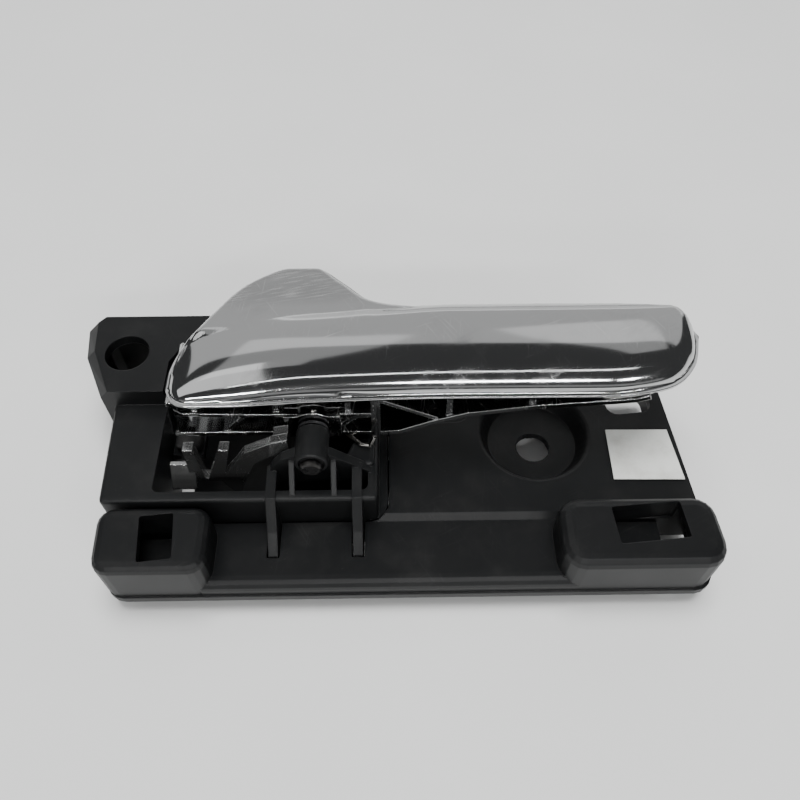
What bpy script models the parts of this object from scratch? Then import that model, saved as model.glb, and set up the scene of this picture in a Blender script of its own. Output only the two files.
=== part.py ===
"""Interior car door handle: a chrome pull lever on a sprung pivot, in a two-piece moulded housing.

The handle lies on its back, as it does on a bench. X runs along the lever, from the pivot end to
the grip end. Y runs across it, and Z is the height above the surface that the housing stands on.
Sizes are in millimetres and are turned into metres when a mesh is made.
"""
import math

import bmesh
import bpy
from mathutils import Matrix, Vector

MM = 0.001
MIDDLE = (0.85, -0.6)
GAP = 0.3
WALL = 2.5

# Outer frame
LIP_Z = 6.0
LIP_TOP_Z = 8.3
BAR_FRONT_Y = -39.4
BAR_REAR_Y = -22.1
BAR_TOP_Z = 13.5
BLOCK_TOP_Z = 24.0
LEFT_BLOCK_X = (-69.6, -42.2)
RIGHT_BLOCK_X = (43.8, 84.4)
RIGHT_BLOCK_REAR_Y = -21.0
PLATE_TOP_Z = 15.0
PLATE_REAR_Y = 23.0
PLATE_START_Y = -20.5
PLATE_LEFT_X = 1.9
SIDE_SLANT = 0.08
RECESS_CENTRE = (42.2, 4.0)
RECESS_TOP_R = 15.6
RECESS_FLOOR_R = 12.4
RECESS_FLOOR_Z = 9.6
RECESS_HOLE = (42.4, 2.4)
RECESS_HOLE_R = 4.7
FRAME_SCREWS = ((8.0, -3.0), (8.0, 15.0), (-36.0, -30.5))
FRAME_PEGS = ((78.6, -31.8, 22.0), (54.0, 20.4, 10.0), (-64.8, -31.8, 22.0))
PEG_R = 2.6

# Mechanism carrier
CARRIER_FRONT_Y = -21.5
CARRIER_RIGHT_X = -0.9
CARRIER_REAR_Y = 34.2
PANEL_TOP_Z = 25.0
TAB_TOP_Z = 31.0
TAB_FRONT_Y = 7.9
TAB_HOLE = (-69.2, 21.0)
TAB_HOLE_R = 6.0
WELL_CORNERS = ((-57.4, -19.0), (-3.4, -19.0), (-3.4, 28.7), (-51.5, 28.7), (-57.4, 17.8))
GUSSETS_X = (-27.6, -6.1)
GUSSET_THICK = 2.5
THIN_RIBS_X = (-22.2, -11.8)
EAR_Z = (3.0, 5.7)
WELL_FLOOR_TOP_Z = 1.0
WELL_FLOOR_LEFT_X = -53.6

# Pivot
PIVOT_X = -17.0
PIVOT_Z = 32.5
PIN_R = 2.1
PIN_HEAD_R = 2.9
BUSH_INNER_R = PIN_R + GAP
BUSH_OUTER_R = 2.9
BORE_R = BUSH_OUTER_R + GAP
BOSS_R = 4.2
FRONT_BRACKET_Y = (-16.2, -7.0)
REAR_BRACKET_Y = (17.2, 20.5)
FRONT_LUG_Y = (-5.2, -2.4)
REAR_LUG_Y = (13.2, 16.0)
LUG_R = 6.0
WIRE_R = 0.6
COIL_R = 4.2
COIL_TURNS = 7

# Lever
RIM_Z = 44.0
CROWN_Z = 50.5
COVER_THICK = 1.8
DROOP = 3.4
DROOP_START_X = -16.0
LEVER_LEFT_X = -52.2
LEVER_RIGHT_X = 81.4
FRONT_EDGE = ((-52.2, -1.5), (-50.5, -4.8), (-45.0, -6.6), (-38.0, -6.6), (-19.0, -5.6), (17.0, -4.8),
              (55.0, -5.0), (67.9, -3.4), (73.0, -1.4), (76.6, 1.8), (79.2, 6.0), (81.4, 13.4))
REAR_EDGE = ((-52.2, 2.5), (-51.2, 7.5), (-47.8, 15.0), (-42.7, 24.0), (-37.5, 31.0), (-31.0, 36.0),
             (-24.0, 38.7), (-17.0, 38.7), (-10.0, 33.6), (-3.0, 27.2), (5.3, 24.5), (18.0, 24.0),
             (45.0, 23.3), (71.0, 21.6), (78.0, 19.6), (81.4, 13.4))
GRIP_LINE = ((0.0, 28.3), (5.0, 28.7), (12.4, 32.4), (22.0, 36.2), (38.8, 39.0), (57.8, 40.7),
             (63.0, 41.3), (66.0, 42.6))
GRIP_RIBS_X = (17.2, 37.6, 57.2)
CORE_FRONT_Y = -4.4
CORE_TOP_Z = 43.2

LABEL_CORNERS = ((61.7, -11.6), (80.6, -11.9), (79.0, 3.9), (62.0, 4.1))
LABEL_THICK = 0.3


def metres(point):
    """A drawn point in metres, with X and Y measured from the middle of the finished handle."""
    return (Vector(point) - Vector((*MIDDLE, 0.0))) * MM


def clear_scene():
    for obj in list(bpy.data.objects):
        bpy.data.objects.remove(obj, do_unlink=True)


def make_material(name, colour, roughness, metallic=0.0):
    material = bpy.data.materials.new(name)
    material.use_nodes = True
    shader = material.node_tree.nodes["Principled BSDF"]
    shader.inputs["Base Color"].default_value = (*colour, 1.0)
    shader.inputs["Roughness"].default_value = roughness
    shader.inputs["Metallic"].default_value = metallic
    return material


def add_object(name, bm, material=None, parent=None):
    """Link a new object. Its mesh is in world places, also when it hangs on the lever's axis."""
    bmesh.ops.recalc_face_normals(bm, faces=bm.faces)
    mesh = bpy.data.meshes.new(name)
    bm.to_mesh(mesh)
    bm.free()
    obj = bpy.data.objects.new(name, mesh)
    bpy.context.scene.collection.objects.link(obj)
    if material:
        mesh.materials.append(material)
    if parent:
        obj.parent = parent
        obj.matrix_parent_inverse = Matrix.Translation(-parent.location)
    return obj


def shade_round(obj, degrees=35.0):
    obj.data.shade_smooth()
    obj.data.set_sharp_from_angle(angle=math.radians(degrees))


def combine(body, operation, shapes):
    """Join shapes to a body, or cut them out of it, with one exact Boolean."""
    group = bpy.data.collections.new(f"{body.name}_{operation.lower()}_{len(body.modifiers)}")
    for index, bm in enumerate(shapes):
        tool = add_object(f"{group.name}_{index}", bm)
        tool.hide_render = True
        tool.display_type = "WIRE"
        group.objects.link(tool)
    modifier = body.modifiers.new(operation.title(), "BOOLEAN")
    modifier.operation = operation
    modifier.operand_type = "COLLECTION"
    modifier.collection = group
    modifier.solver = "EXACT"


def loft(rings, wrap=False):
    """A closed solid through rings of equal point count, capped at its ends or wrapped round."""
    bm = bmesh.new()
    loops = [[bm.verts.new(metres(point)) for point in ring] for ring in rings]
    pairs = list(zip(loops, loops[1:]))
    if wrap:
        pairs.append((loops[-1], loops[0]))
    else:
        bm.faces.new(loops[0])
        bm.faces.new(loops[-1])
    for lower, upper in pairs:
        count = len(lower)
        for i in range(count):
            j = (i + 1) % count
            bm.faces.new((lower[i], lower[j], upper[j], upper[i]))
    return bm


def rounded_outline(corners, radius, inset=0.0, steps=4):
    """A counter-clockwise outline with round corners, moved inwards by inset."""
    points = [Vector(corner) for corner in corners]
    count = len(points)
    shifted = []
    for i, corner in enumerate(points):
        before = (corner - points[i - 1]).normalized()
        after = (points[(i + 1) % count] - corner).normalized()
        left_before = Vector((-before.y, before.x))
        left_after = Vector((-after.y, after.x))
        shift = inset / (1.0 + left_before.dot(left_after))
        shifted.append(corner + (left_before + left_after) * shift)
    outline = []
    corner_radius = max(radius - inset, 0.15)
    for i, corner in enumerate(shifted):
        back = (shifted[i - 1] - corner).normalized()
        ahead = (shifted[(i + 1) % count] - corner).normalized()
        half = back.angle(ahead) / 2.0
        centre = corner + (back + ahead).normalized() * (corner_radius / math.sin(half))
        reach = corner_radius / math.tan(half)
        start = corner + back * reach - centre
        end = corner + ahead * reach - centre
        sweep = start.angle(end)
        for k in range(steps + 1):
            share = k / steps
            arm = (start * math.sin((1.0 - share) * sweep) + end * math.sin(share * sweep)) / math.sin(sweep)
            outline.append(tuple(centre + arm))
    return outline


def block(corners, z_low, z_high, radius=1.0, fillet=0.0, steps=3):
    """An upright solid with round corners, and a rounded top edge if fillet is given."""
    levels = [(z_low, 0.0), (z_high - fillet, 0.0)]
    if fillet:
        for k in range(1, steps + 1):
            angle = math.pi / 2.0 * k / steps
            levels.append((z_high - fillet + fillet * math.sin(angle), fillet * (1.0 - math.cos(angle))))
    rings = []
    for z, inset in levels:
        rings.append([(x, y, z) for x, y in rounded_outline(corners, radius, inset)])
    return loft(rings)


def box(x_span, y_span, z_span):
    (x0, x1), (y0, y1) = x_span, y_span
    corners = ((x0, y0), (x1, y0), (x1, y1), (x0, y1))
    return loft([[(x, y, z) for x, y in corners] for z in z_span])


def slab_across_x(profile, x_span):
    """A plate whose outline is given in Y and Z, with its thickness along X."""
    return loft([[(x, y, z) for y, z in profile] for x in x_span])


def slab_across_y(profile, y_span):
    """A plate whose outline is given in X and Z, with its thickness along Y."""
    return loft([[(x, y, z) for x, z in profile] for y in y_span])


def ribbon(path, thickness, y_span):
    """A thin wall that follows a path in X and Z, with its width along Y."""
    points = [Vector(point) for point in path]
    upper, lower = [], []
    for i, point in enumerate(points):
        before = (point - points[max(i - 1, 0)]).normalized() if i else None
        after = (points[i + 1] - point).normalized() if i + 1 < len(points) else None
        before = before or after
        after = after or before
        normal = (Vector((-before.y, before.x)) + Vector((-after.y, after.x))).normalized()
        half = thickness / 2.0 / max(normal.dot(Vector((-after.y, after.x))), 0.5)
        upper.append(tuple(point + normal * half))
        lower.append(tuple(point - normal * half))
    return slab_across_y(upper + lower[::-1], y_span)


def turned(profile, axis, centre, sides=24, wrap=False):
    """A round solid about an axis along Y or Z, from pairs of distance along it and radius."""
    rings = []
    for along, radius in profile:
        ring = []
        for k in range(sides):
            angle = 2.0 * math.pi * k / sides
            u, v = radius * math.cos(angle), radius * math.sin(angle)
            if axis == "Y":
                ring.append((centre[0] + u, along, centre[1] + v))
            else:
                ring.append((centre[0] + u, centre[1] + v, along))
        rings.append(ring)
    return loft(rings, wrap)


def sleeve(inner, outer, y_span, sides=24):
    """A plain tube on the pivot axis."""
    low, high = y_span
    profile = ((low, inner), (low, outer), (high, outer), (high, inner))
    return turned(profile, "Y", (PIVOT_X, PIVOT_Z), sides, wrap=True)


def right_edge_x(y):
    """The frame's right side leans inwards towards the rear."""
    return RIGHT_BLOCK_X[1] - SIDE_SLANT * (y - BAR_FRONT_Y)


def deck_profile():
    """The bar's rounded front edge, its flat top, the ramp and the plate, in Y and Z."""
    fillet = 3.0
    profile = [(BAR_FRONT_Y, LIP_Z)]
    for k in range(5):
        angle = math.pi / 2.0 * k / 4
        profile.append((BAR_FRONT_Y + fillet * (1.0 - math.cos(angle)),
                        BAR_TOP_Z - fillet + fillet * math.sin(angle)))
    profile += [(BAR_REAR_Y, BAR_TOP_Z), (PLATE_START_Y, PLATE_TOP_Z),
                (PLATE_REAR_Y, PLATE_TOP_Z), (PLATE_REAR_Y, LIP_Z)]
    return profile


def frame_deck():
    profile = deck_profile()
    left = [(LEFT_BLOCK_X[1] - 3.0, y, z) for y, z in profile]
    right = [(right_edge_x(y) - 0.3, y, z) for y, z in profile]
    return loft([left, right])


def deck_corner():
    """The deck's square front corner, cleared where the right block has its own rounded corner."""
    return box((RIGHT_BLOCK_X[1] - 8.0, RIGHT_BLOCK_X[1] + 5.0), (BAR_FRONT_Y - 1.0, BAR_REAR_Y - 0.9),
               (LIP_Z - 1.0, PLATE_TOP_Z))


def frame_blocks():
    """The two box-shaped ends of the front bar, and the lip that runs along the bottom."""
    left, left_end = LEFT_BLOCK_X
    right, right_end = RIGHT_BLOCK_X
    left_block = ((left, BAR_FRONT_Y), (left_end, BAR_FRONT_Y),
                  (left_end, BAR_REAR_Y), (left - 1.0, BAR_REAR_Y))
    right_block = ((right, BAR_FRONT_Y), (right_end, BAR_FRONT_Y),
                   (right_edge_x(RIGHT_BLOCK_REAR_Y), RIGHT_BLOCK_REAR_Y), (right, RIGHT_BLOCK_REAR_Y))
    lip = ((left - 0.3, BAR_FRONT_Y - 0.5), (right_end + 0.1, BAR_FRONT_Y - 0.5),
           (right_edge_x(BAR_FRONT_Y + 12.0), BAR_FRONT_Y + 12.0), (left - 0.5, BAR_FRONT_Y + 12.0))
    return [block(left_block, LIP_Z, BLOCK_TOP_Z, 4.2, 2.5),
            block(right_block, LIP_Z, BLOCK_TOP_Z, 5.5, 3.0),
            block(lip, LIP_Z, LIP_TOP_Z, 5.0)]


def frame_hollows():
    """The space under the blocks, the bar and the plate, with cross walls left between them."""
    low = LIP_Z - 1.0
    front = BAR_FRONT_Y + WALL
    bar_rear = BAR_REAR_Y - WALL
    block_top = BLOCK_TOP_Z - WALL
    bar_top = BAR_TOP_Z - WALL
    hollows = [
        box((LEFT_BLOCK_X[0] + WALL, LEFT_BLOCK_X[1] - WALL), (front, bar_rear), (low, block_top)),
        box((RIGHT_BLOCK_X[0] + WALL, RIGHT_BLOCK_X[1] - WALL - 1.6), (front, RIGHT_BLOCK_REAR_Y - WALL),
            (low, block_top)),
    ]
    for span in ((-39.7, -17.8), (-16.2, PLATE_LEFT_X)):
        hollows.append(box(span, (front, bar_rear), (low, bar_top)))
    for span in ((PLATE_LEFT_X + WALL, 22.0), (23.6, RIGHT_BLOCK_X[0] - WALL)):
        hollows.append(box(span, (front, -23.0), (low, bar_top)))
    inner_right = [(right_edge_x(y) - WALL - 0.5, y) for y in (PLATE_START_Y, PLATE_REAR_Y - WALL)]
    plate = ((PLATE_LEFT_X + WALL, PLATE_START_Y), inner_right[0], inner_right[1],
             (PLATE_LEFT_X + WALL, PLATE_REAR_Y - WALL))
    hollows.append(block(plate, low, PLATE_TOP_Z - WALL, 2.0))
    return hollows


def frame_inside():
    """Ribs, the dished seat, screw bosses, standing pegs and the shelves in the two blocks."""
    under_plate = PLATE_TOP_Z - WALL + 0.2
    x, y = RECESS_CENTRE
    shapes = [turned(((RECESS_FLOOR_Z - 2.3, RECESS_FLOOR_R + 1.8), (PLATE_TOP_Z - 1.0, RECESS_TOP_R + 1.8)),
                     "Z", RECESS_CENTRE, 32),
              box((PLATE_LEFT_X + 1.0, 78.0), (y - 0.8, y + 0.8), (LIP_Z + 1.0, under_plate)),
              box((x - 0.8, x + 0.8), (PLATE_START_Y - 1.0, PLATE_REAR_Y - 1.0), (LIP_Z + 1.0, under_plate)),
              box((45.0, 71.0), (BAR_FRONT_Y + 1.5, RIGHT_BLOCK_REAR_Y - 1.5), (12.0, 14.0)),
              box((-68.4, -43.4), (BAR_FRONT_Y + 1.5, BAR_REAR_Y - 1.5), (8.0, 10.0))]
    for boss_x, boss_y in FRAME_SCREWS:
        top = under_plate if boss_y > BAR_REAR_Y else BAR_TOP_Z - WALL + 0.2
        shapes.append(turned(((LIP_Z, 3.5), (top, 3.8)), "Z", (boss_x, boss_y), 20))
    for peg_x, peg_y, top in FRAME_PEGS:
        shapes.append(turned(((0.0, PEG_R - 0.6), (LIP_Z, PEG_R), (top, PEG_R)), "Z", (peg_x, peg_y), 16))
    return shapes


def turned_rectangle(centre, width, depth, degrees):
    angle = math.radians(degrees)
    cos, sin = math.cos(angle), math.sin(angle)
    corners = []
    for u, v in ((-1, -1), (1, -1), (1, 1), (-1, 1)):
        a, b = u * width / 2.0, v * depth / 2.0
        corners.append((centre[0] + a * cos - b * sin, centre[1] + a * sin + b * cos))
    return corners


def frame_openings():
    """Windows, the dished screw seat, the D hole, the carrier's bay and the gusset notches."""
    bay = ((-95.0, BAR_REAR_Y), (PLATE_LEFT_X, BAR_REAR_Y), (PLATE_LEFT_X, 60.0), (-95.0, 60.0))
    window_high = BLOCK_TOP_Z + 2.0
    shapes = [block(bay, LIP_Z - 3.0, PANEL_TOP_Z, 5.0),
              block(turned_rectangle((-54.8, -30.7), 8.3, 12.2, 6.0), 12.0, window_high, 0.6),
              block(turned_rectangle((66.0, -28.4), 17.4, 10.0, 5.0), 16.0, window_high, 0.6),
              turned(((RECESS_FLOOR_Z, RECESS_FLOOR_R), (PLATE_TOP_Z - 1.2, RECESS_TOP_R - 1.3),
                      (PLATE_TOP_Z - 0.4, RECESS_TOP_R - 0.7), (PLATE_TOP_Z, RECESS_TOP_R),
                      (PLATE_TOP_Z + 1.0, RECESS_TOP_R)), "Z", RECESS_CENTRE, 40),
              turned(((LIP_Z - 1.0, RECESS_HOLE_R), (PLATE_TOP_Z, RECESS_HOLE_R)), "Z", RECESS_HOLE, 24),
              block(((63.6, 9.3), (76.6, 10.6), (76.2, 19.2), (63.6, 19.2)),
                    LIP_Z - 1.0, PLATE_TOP_Z + 1.0, 3.2),
              block(((9.0, 7.6), (24.5, 7.6), (24.5, 19.0), (9.0, 19.0)),
                    PLATE_TOP_Z - 1.2, PLATE_TOP_Z + 1.0, 4.0)]
    for x in GUSSETS_X:
        notch = ((x - 1.7, BAR_REAR_Y + 0.5), (x - 1.65, -31.9),
                 (x + 1.65, -31.9), (x + 1.7, BAR_REAR_Y + 0.5))
        shapes.append(block(notch, LIP_Z - 1.0, BAR_TOP_Z + 1.0, 0.4))
    for centre in FRAME_SCREWS:
        shapes.append(turned(((LIP_Z - 1.0, 1.9), (10.6, 1.9)), "Z", centre, 16))
    return shapes


def outer_frame(material):
    frame = add_object("outer_frame", frame_deck(), material)
    combine(frame, "DIFFERENCE", [deck_corner()])
    combine(frame, "UNION", frame_blocks())
    combine(frame, "DIFFERENCE", frame_hollows())
    combine(frame, "UNION", frame_inside())
    combine(frame, "DIFFERENCE", frame_openings())


def carrier_tab():
    """The raised fixing tab, with a chamfer down its left side."""
    top = ((-72.0, TAB_FRONT_Y), (-44.0, TAB_FRONT_Y), (-44.0, CARRIER_REAR_Y), (-77.4, CARRIER_REAR_Y),
           (-79.2, 32.2), (-78.2, 22.0))
    side = ((-74.5, TAB_FRONT_Y), (-44.0, TAB_FRONT_Y), (-44.0, CARRIER_REAR_Y), (-78.2, CARRIER_REAR_Y),
            (-82.4, 31.2), (-81.0, 21.5))
    rings = [[(x, y, 0.0) for x, y in side],
             [(x, y, TAB_TOP_Z - 2.8) for x, y in side],
             [(x, y, TAB_TOP_Z) for x, y in top]]
    return loft(rings)


def carrier_hollows():
    """The undersides of the panel and the tab, and the open well that the mechanism moves in."""
    panel = ((-67.8, -17.6), (-59.9, -17.6), (-59.9, TAB_FRONT_Y - 1.0), (-68.9, TAB_FRONT_Y - 1.0))
    tab = ((-71.6, 10.4), (-59.9, 10.4), (-59.9, 18.3), (-52.8, 31.4),
           (-76.6, 31.4), (-79.0, 29.8), (-78.2, 21.8))
    return [block(panel, -1.0, PANEL_TOP_Z - WALL, 1.0),
            block(tab, -1.0, TAB_TOP_Z - 3.0, 1.0),
            block(WELL_CORNERS, -1.0, TAB_TOP_Z + 3.0, 1.6)]


def front_bracket():
    """A tent-shaped wall under the pivot boss, steep and hollow-cheeked on its left side."""
    outline = ((-29.4, 4.0), (-2.0, 4.0), (-2.0, 24.6), (-12.8, 33.6), (-21.2, 33.6), (-24.6, 31.4),
               (-27.2, 28.0), (-28.9, 24.0), (-29.4, 20.5))
    return [slab_across_y(outline, (-14.0, -11.6)),
            turned(((FRONT_BRACKET_Y[0], BOSS_R - 0.4), (FRONT_BRACKET_Y[0] + 0.4, BOSS_R),
                    (FRONT_BRACKET_Y[1], BOSS_R)), "Y", (PIVOT_X, PIVOT_Z), 32)]


def rear_bracket():
    outline = ((-27.0, 4.0), (-6.0, 4.0), (-8.0, 22.0), (-12.8, 35.0), (-21.2, 35.0), (-25.6, 22.0))
    shapes = [slab_across_y(outline, (REAR_BRACKET_Y[0] + 0.4, REAR_BRACKET_Y[1] - 0.4)),
              turned(((REAR_BRACKET_Y[0], BOSS_R), (REAR_BRACKET_Y[1], BOSS_R)), "Y", (PIVOT_X, PIVOT_Z))]
    for x in (-24.6, -8.6):
        rib = ((19.0, 5.0), (30.5, 5.0), (30.5, 12.0), (19.0, 21.0))
        shapes.append(slab_across_x(rib, (x - 0.9, x + 0.9)))
    return shapes


def carrier_ribs():
    shapes = []
    for x in THIN_RIBS_X:
        rib = ((-12.5, 31.5), (-14.4, 30.9), (-20.4, 25.2), (-20.4, 12.0), (-12.5, 12.0))
        shapes.append(slab_across_x(rib, (x - 0.7, x + 0.7)))
    for x, shoulder in zip(GUSSETS_X, (26.2, 27.6)):
        gusset = ((-12.5, shoulder), (-14.5, shoulder), (-21.4, 25.4), (-27.0, 17.6),
                  (-31.4, 13.0), (-31.4, 9.5),
                  (-27.0, 7.6), (-21.4, 6.5), (-12.5, 6.5))
        half = GUSSET_THICK / 2.0
        shapes.append(slab_across_x(gusset, (x - half, x + half)))
    return shapes


def carrier_inside():
    """Pivot brackets, ribs, the ledge beside the plate, the hood, the well's floor, seats and screw ears."""
    shapes = front_bracket() + rear_bracket() + carrier_ribs()
    hood = ((-10.2, -12.4), (-1.7, -12.4), (-1.7, -5.6), (-7.4, -5.6))
    floor = ((WELL_FLOOR_LEFT_X, -20.0), (-2.4, -20.0), (-2.4, 29.7), (WELL_FLOOR_LEFT_X, 29.7))
    corner = [(-3.1 + 4.6 * math.sin(math.radians(turn)), -17.1 - 4.6 * math.cos(math.radians(turn)))
              for turn in (0, 30, 60, 90)]
    ledge = [[(x, y, z) for x, y in corner + [(1.5, 31.0), (-3.1, 31.0)]] for z in (0.0, 13.8)]
    shapes += [loft(ledge),
               block(hood, 17.0, 26.4, 1.2, 1.0),
               block(floor, 0.0, WELL_FLOOR_TOP_Z, 0.8),
               box((-6.4, -2.0), (0.6, 8.4), (18.0, PANEL_TOP_Z)),
               box((-58.6, -49.0), (-1.0, 6.0), (11.0, 13.4))]
    for x, y in FRAME_SCREWS[:2]:
        ear = ((-2.6, y - 4.0), (x + 4.2, y - 4.0), (x + 4.2, y + 4.0), (-2.6, y + 4.0))
        shapes.append(block(ear, *EAR_Z, 2.5))
    x, y = FRAME_SCREWS[2]
    front_ear = ((x - 4.0, y - 4.2), (x + 4.0, y - 4.2), (x + 4.0, -19.0), (x - 4.0, -19.0))
    shapes.append(block(front_ear, *EAR_Z, 2.5))
    return shapes


def carrier_holes():
    shapes = [turned(((-17.0, BORE_R), (-6.0, BORE_R)), "Y", (PIVOT_X, PIVOT_Z)),
              turned(((16.0, BORE_R), (22.0, BORE_R)), "Y", (PIVOT_X, PIVOT_Z)),
              turned(((-1.0, TAB_HOLE_R), (TAB_TOP_Z + 1.0, TAB_HOLE_R)), "Z", TAB_HOLE, 32)]
    for centre in FRAME_SCREWS:
        shapes.append(turned(((2.0, 1.9), (7.0, 1.9)), "Z", centre, 16))
    return shapes


def mechanism_carrier(material):
    body = ((-70.3, CARRIER_FRONT_Y), (CARRIER_RIGHT_X, CARRIER_FRONT_Y), (CARRIER_RIGHT_X, 31.2),
            (-62.0, 31.2), (-62.0, 10.0), (-71.9, 10.0))
    carrier = add_object("mechanism_carrier", block(body, 0.0, PANEL_TOP_Z, 1.2, 1.2), material)
    combine(carrier, "UNION", [carrier_tab()])
    combine(carrier, "DIFFERENCE", carrier_hollows())
    combine(carrier, "UNION", carrier_inside())
    combine(carrier, "DIFFERENCE", carrier_holes())


def smooth_between(points, x):
    """A smooth curve through points given in rising x, flat-tangent safe at its ends."""
    xs = [point[0] for point in points]
    ys = [point[1] for point in points]
    slopes = [(ys[i + 1] - ys[i]) / (xs[i + 1] - xs[i]) for i in range(len(xs) - 1)]
    tangents = [slopes[0]] + [0.5 * (a + b) if a * b > 0.0 else 0.0 for a, b in zip(slopes, slopes[1:])]
    tangents.append(slopes[-1])
    x = min(max(x, xs[0]), xs[-1])
    i = max(k for k in range(len(xs) - 1) if xs[k] <= x)
    width = xs[i + 1] - xs[i]
    t = (x - xs[i]) / width
    return ((2 * t ** 3 - 3 * t ** 2 + 1) * ys[i] + (t ** 3 - 2 * t ** 2 + t) * width * tangents[i]
            + (3 * t ** 2 - 2 * t ** 3) * ys[i + 1] + (t ** 3 - t ** 2) * width * tangents[i + 1])


def crown_height(x):
    """Height of the crown line: level over the grip, drooping towards the pivot end, round at both ends."""
    droop = DROOP * max((DROOP_START_X - x) / (DROOP_START_X - LEVER_LEFT_X), 0.0) ** 2
    left = min(max((x - LEVER_LEFT_X) / 12.0, 0.0), 1.0)
    right = min(max((LEVER_RIGHT_X - x) / 9.0, 0.0), 1.0)
    ends = math.sqrt(1.0 - (1.0 - left) ** 2) * math.sqrt(1.0 - (1.0 - right) ** 2)
    return RIM_Z + 0.8 + (CROWN_Z - droop - RIM_Z - 0.8) * ends


def cover_section(x, inset, drop, count=10):
    """Points of one cross-section of the cover, from its front rim over the crown to its rear rim."""
    front = smooth_between(FRONT_EDGE, x) + inset
    rear = smooth_between(REAR_EDGE, x) - inset
    middle = (front + rear) / 2.0
    half = max((rear - front) / 2.0, 0.2)
    rise = max(crown_height(x) - RIM_Z, 0.2)
    points = []
    for k in range(count + 1):
        angle = math.pi * k / count
        across = -math.cos(angle)
        height = math.sin(angle) ** 0.55 if 0 < k < count else 0.0
        inner_drop = 0.0 if k in (0, count) else drop
        points.append((x, middle + half * across, RIM_Z + rise * height - inner_drop))
    return points


def lever_cover(material, axis):
    """The crowned outer shell of the lever: one skin, open underneath."""
    stations = 30
    outer, inner = [], []
    for k in range(stations + 1):
        share = (1.0 - math.cos(math.pi * k / stations)) / 2.0
        share = 0.5 * share + 0.5 * k / stations
        x = LEVER_LEFT_X + 0.05 + (LEVER_RIGHT_X - LEVER_LEFT_X - 0.1) * share
        outer.append(cover_section(x, 0.0, 0.0))
        low, high = LEVER_LEFT_X + COVER_THICK, LEVER_RIGHT_X - COVER_THICK
        inner.append(cover_section(low + (high - low) * share, COVER_THICK, COVER_THICK))
    bm = bmesh.new()
    skins = []
    for skin in (outer, inner):
        skins.append([[bm.verts.new(metres(point)) for point in section] for section in skin])
    rows, columns = len(outer), len(outer[0])
    for skin in skins:
        for i in range(rows - 1):
            for j in range(columns - 1):
                bm.faces.new((skin[i][j], skin[i + 1][j], skin[i + 1][j + 1], skin[i][j + 1]))
    border = [(i, 0) for i in range(rows)] + [(rows - 1, j) for j in range(1, columns)]
    border += [(i, columns - 1) for i in range(rows - 2, -1, -1)] + [(0, j) for j in range(columns - 2, 0, -1)]
    for (i, j), (m, n) in zip(border, border[1:] + border[:1]):
        bm.faces.new((skins[0][i][j], skins[0][m][n], skins[1][m][n], skins[1][i][j]))
    shade_round(add_object("lever_cover", bm, material, axis), 50.0)


def core_web():
    """The flat web under the cover, just inside its rim."""
    stations = 24
    inset = 2.6
    front, rear = [], []
    for k in range(stations + 1):
        x = LEVER_LEFT_X + inset + (LEVER_RIGHT_X - LEVER_LEFT_X - 2.0 * inset) * k / stations
        front.append((x, smooth_between(FRONT_EDGE, x) + inset * 0.5))
        rear.append((x, smooth_between(REAR_EDGE, x) - inset * 0.5))
    outline = front + rear[::-1]
    return loft([[(x, y, z) for x, y in outline] for z in (CORE_TOP_Z - 1.4, CORE_TOP_Z)])


def core_grip():
    """The lower grip skin, its rear wall, and the cross ribs that stiffen the open front."""
    top = CORE_TOP_Z - 0.4
    wall = tuple(GRIP_LINE) + ((66.0, top), (0.0, top))
    shapes = [ribbon(GRIP_LINE, 1.6, (CORE_FRONT_Y, 19.9)),
              slab_across_y(wall, (18.4, 20.1)),
              ribbon(((-0.4, 42.0), (14.2, 33.9)), 1.3, (CORE_FRONT_Y + 0.4, 19.2)),
              ribbon(((-1.2, 27.7), (-1.2, top)), 2.4, (CORE_FRONT_Y, 19.9))]
    for x in GRIP_RIBS_X:
        rib_z = (smooth_between(GRIP_LINE, x), top)
        shapes.append(box((x - 0.8, x + 0.8), (CORE_FRONT_Y + 0.8, 19.2), rib_z))
    return shapes


def core_pivot_end():
    """The trussed pivot end: two long flanges, diagonals between them, and two lugs."""
    front = CORE_FRONT_Y
    shapes = [ribbon(((-52.0, 28.9), (-23.4, 28.8)), 1.4, (front, 12.0)),
              ribbon(((-10.6, 28.6), (0.0, 28.3)), 1.4, (front, 16.4)),
              ribbon(((-51.6, 40.2), (-49.4, 37.6), (-33.0, 36.8), (-24.0, 36.7)), 1.2, (front, 16.4)),
              ribbon(((-26.0, 36.7), (-8.0, 36.6)), 1.2, (front, FRONT_LUG_Y[1])),
              ribbon(((-10.0, 36.6), (-1.2, 36.6)), 1.2, (front, 16.4)),
              ribbon(((-39.9, 28.9), (-33.2, 36.8)), 1.2, (front + 0.4, 12.0)),
              ribbon(((-12.4, 29.2), (-6.4, 35.2), (-1.2, 35.8)), 1.2, (front + 0.4, 12.0)),
              ribbon(((-52.2, 28.3), (-51.2, CORE_TOP_Z - 0.4)), 1.6, (front, 3.6)),
              ribbon(((-46.0, 36.8), (-46.0, CORE_TOP_Z - 0.4)), 1.4, (front + 0.8, 14.0)),
              ribbon(((-26.0, 36.0), (-26.0, CORE_TOP_Z - 0.4)), 1.4, (front + 0.8, 24.0)),
              ribbon(((-8.0, 36.0), (-8.0, CORE_TOP_Z - 0.4)), 1.4, (front + 0.8, 24.0))]
    for span in (FRONT_LUG_Y, REAR_LUG_Y):
        shapes.append(box((-24.0, -10.0), span, (28.4, 37.2)))
        shapes.append(turned(((span[0], LUG_R), (span[1], LUG_R)), "Y", (PIVOT_X, PIVOT_Z)))
    return shapes


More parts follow.
